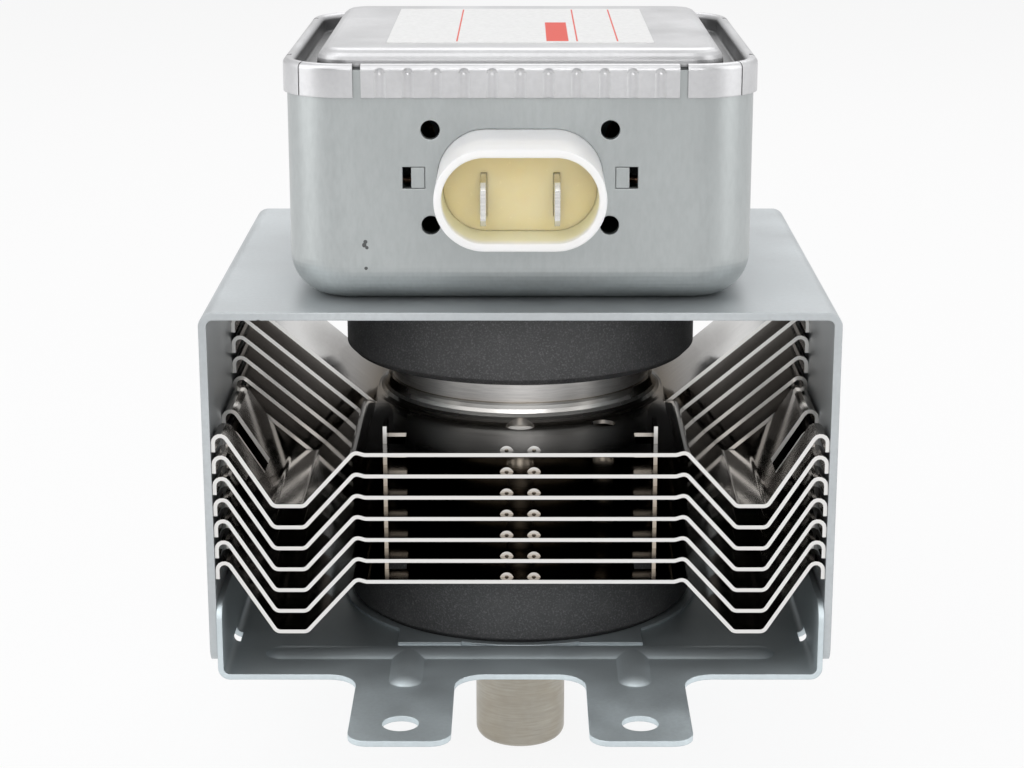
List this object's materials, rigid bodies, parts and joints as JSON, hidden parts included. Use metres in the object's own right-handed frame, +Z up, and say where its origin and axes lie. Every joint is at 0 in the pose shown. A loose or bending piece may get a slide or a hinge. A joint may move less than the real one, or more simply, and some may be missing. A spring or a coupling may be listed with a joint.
{
  "type": "microwave-oven magnetron",
  "caption": "Microwave-oven magnetron: a vacuum tube between ring magnets in a folded steel yoke, with bent cooling fins, a filter box with terminals on top and an antenna below.",
  "frame": {"origin": "on the tube axis at the underside of the mounting plate, in the middle of the mounting holes", "axes": "+Z up along the tube towards the filter box, the antenna points to -Z and the terminals face -Y"},
  "size_m": [0.0966, 0.1328, 0.1239],
  "materials": {
    "yoke_steel": "satin zinc plate",
    "plate_steel": "satin zinc plate",
    "box_steel": "satin zinc plate",
    "lid_steel": "satin zinc plate",
    "ferrite": "dull, speckled",
    "fin_aluminium": "bright rolled sheet",
    "anode_metal": "bright plate",
    "copper": "bare copper",
    "tube_steel": "plated steel",
    "ceramic_white": "matt",
    "cathode_metal": "bare refractory metal",
    "cap_metal": "satin",
    "gasket_mesh": "knitted wire",
    "white_plastic": "satin",
    "epoxy": "glossy",
    "tab_metal": "tinned",
    "label_paper": "matt"
  },
  "bodies": {
    "root": {"upper_yoke": "yoke_steel", "lower_yoke": "plate_steel", "upper_magnet": "ferrite", "lower_magnet": "ferrite", "cooling_fin_1": "fin_aluminium", "cooling_fin_2": "fin_aluminium", "cooling_fin_3": "fin_aluminium", "cooling_fin_4": "fin_aluminium", "cooling_fin_5": "fin_aluminium", "cooling_fin_6": "fin_aluminium", "cooling_fin_7": "fin_aluminium", "anode_cylinder": "anode_metal", "anode_vane_1": "copper", "anode_vane_2": "copper", "anode_vane_3": "copper", "anode_vane_4": "copper", "anode_vane_5": "copper", "anode_vane_6": "copper", "anode_vane_7": "copper", "anode_vane_8": "copper", "anode_vane_9": "copper", "anode_vane_10": "copper", "strap_ring_upper_inner": "copper", "strap_ring_upper_outer": "copper", "strap_ring_lower_inner": "copper", "strap_ring_lower_outer": "copper", "upper_pole_piece": "tube_steel", "lower_pole_piece": "tube_steel", "upper_seal_cup": "tube_steel", "lower_seal_cup": "tube_steel", "stem_insulator": "ceramic_white", "cathode_lead_center": "cathode_metal", "cathode_lead_side": "cathode_metal", "cathode_filament": "cathode_metal", "upper_end_hat": "cathode_metal", "lower_end_hat": "cathode_metal", "antenna_insulator": "ceramic_white", "antenna_lead": "copper", "exhaust_tube": "copper", "antenna_cap": "cap_metal", "rf_gasket": "gasket_mesh", "filter_box": "box_steel", "filter_box_lid": "lid_steel", "lid_label": "label_paper", "terminal_housing": "white_plastic", "capacitor_potting": "epoxy", "capacitor_ground_plate": "box_steel", "terminal_tab_left": "tab_metal", "terminal_tab_right": "tab_metal", "choke_core_left": "ferrite", "choke_core_right": "ferrite", "choke_coil_left": "copper", "choke_coil_right": "copper"}
  },
  "joints": []
}
